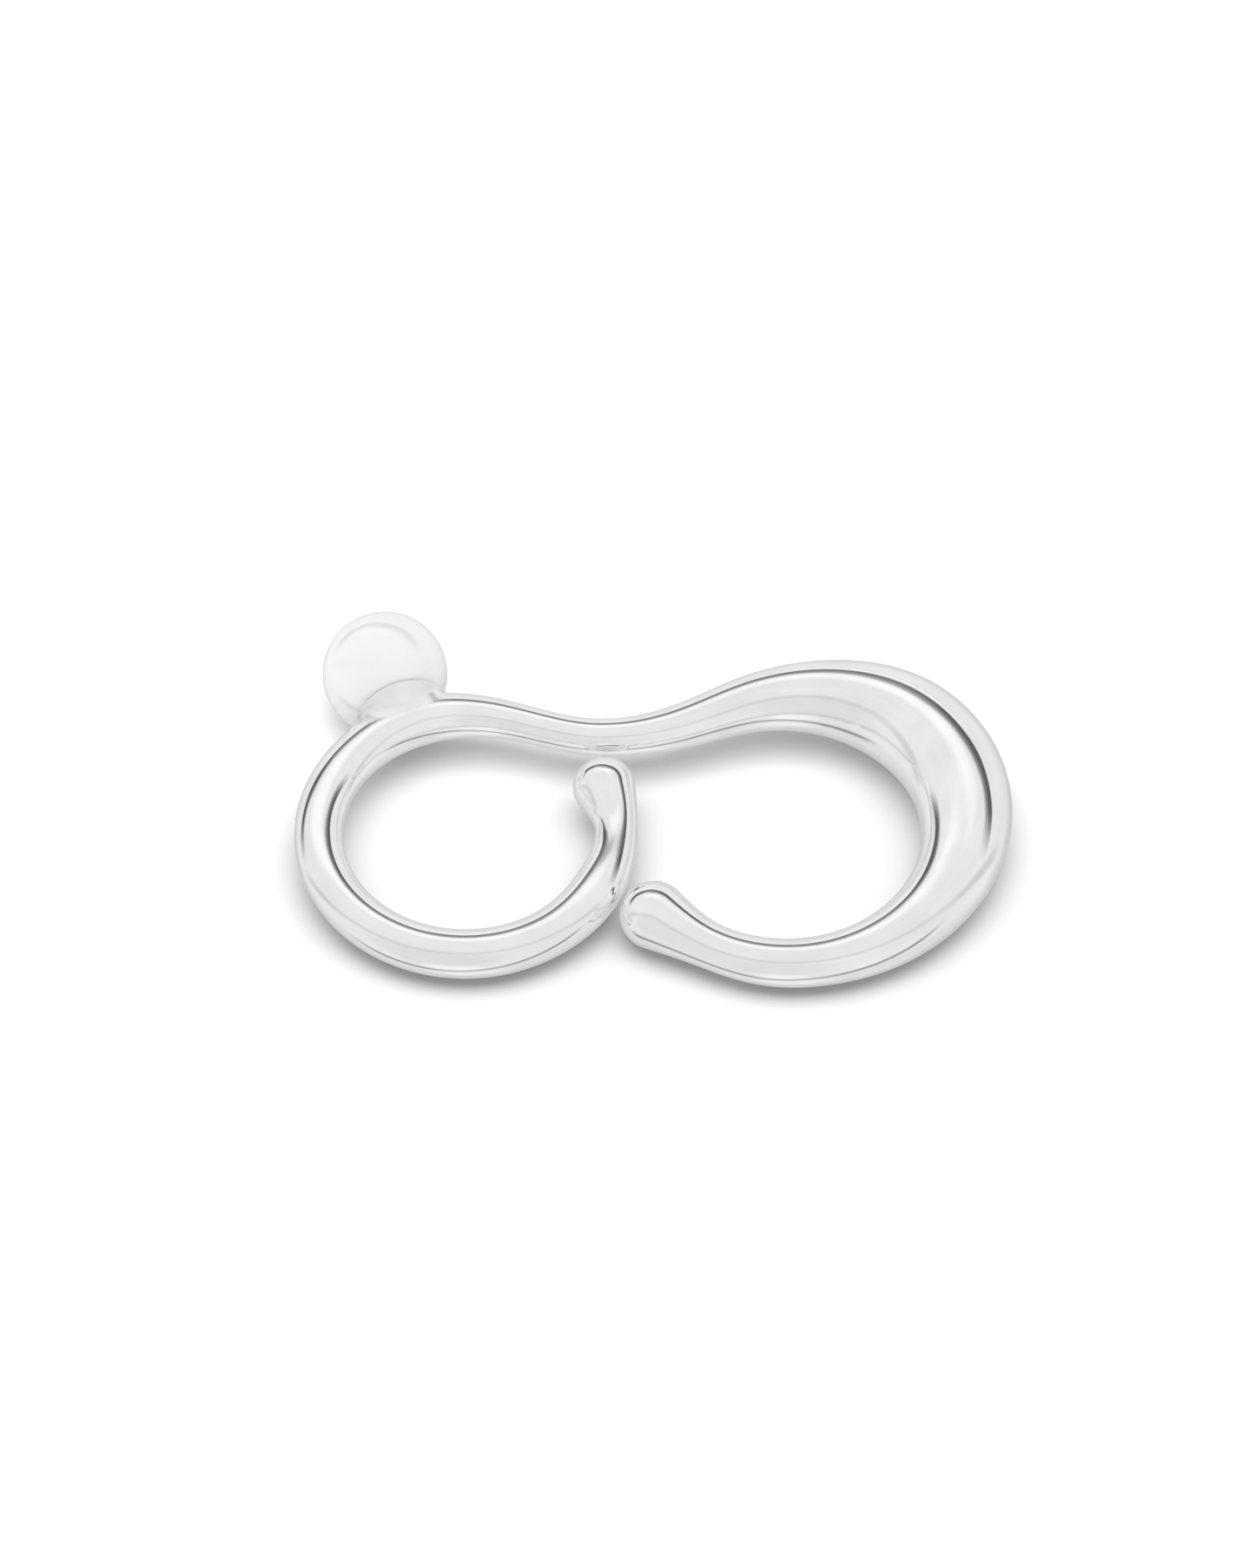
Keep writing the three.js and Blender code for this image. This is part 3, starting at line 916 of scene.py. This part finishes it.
def table_top():
    mesh = bpy.data.meshes.new("table")
    reach = TABLE_REACH * MM
    corners = [(-reach, -reach, 0), (reach, -reach, 0), (reach, reach, 0), (-reach, reach, 0)]
    mesh.from_pydata(corners, [], [(0, 1, 2, 3)])
    mesh.materials.append(table_paint())
    table = bpy.data.objects.new("table", mesh)
    bpy.context.scene.collection.objects.link(table)
    return table


table = table_top()
table.visible_glossy = False


def strip_light(name, place, size, spread, power):
    """A long softbox that points down and shows in no reflection."""
    lamp = bpy.data.lights.new(name, "AREA")
    lamp.shape = "RECTANGLE"
    lamp.size, lamp.size_y = metres(size)
    lamp.spread = math.radians(spread)
    lamp.energy = power
    light = bpy.data.objects.new(name, lamp)
    bpy.context.scene.collection.objects.link(light)
    light.location = metres(place)
    light.visible_glossy = False
    light.visible_camera = False
    return light


def light_only(light, thing):
    """Lets a light fall on one thing alone. Everything still casts its shadow."""
    lit = bpy.data.collections.new(light.name + "_lit")
    lit.objects.link(thing)
    light.light_linking.receiver_collection = lit


key = strip_light("key", KEY_PLACE, KEY_SIZE, KEY_SPREAD, KEY_POWER)
light_only(key, table)

# ------------------------------------------------------------------ camera

CAMERA_HEIGHT = 48.0
CAMERA_DISTANCE = 650.0
CAMERA_LENS, SENSOR_WIDTH = 221.6, 36
CLIP_START = 10
# How far the camera looks to the right of the ring plane's origin, and above it in the view.
LOOK_RIGHT, LOOK_UP = 1.325, 3.30

rise = math.radians(CAMERA_HEIGHT)
view_back = Vector((0, -math.cos(rise), math.sin(rise)))
view_up = Vector((0, math.sin(rise), math.cos(rise)))
look_at = rest_place.translation + LOOK_RIGHT * Vector((1, 0, 0)) + LOOK_UP * view_up
camera = bpy.data.objects.new("camera", bpy.data.cameras.new("camera"))
camera.data.lens = CAMERA_LENS
camera.data.sensor_width = SENSOR_WIDTH
camera.data.clip_start = CLIP_START * MM
camera.matrix_world = (
    Matrix.Translation((look_at + CAMERA_DISTANCE * view_back) * MM)
    @ view_back.to_track_quat("Z", "Y").to_matrix().to_4x4()
)
bpy.context.scene.collection.objects.link(camera)
bpy.context.scene.camera = camera

bpy.context.scene.view_settings.view_transform = "Standard"
bpy.context.scene.view_settings.look = "None"
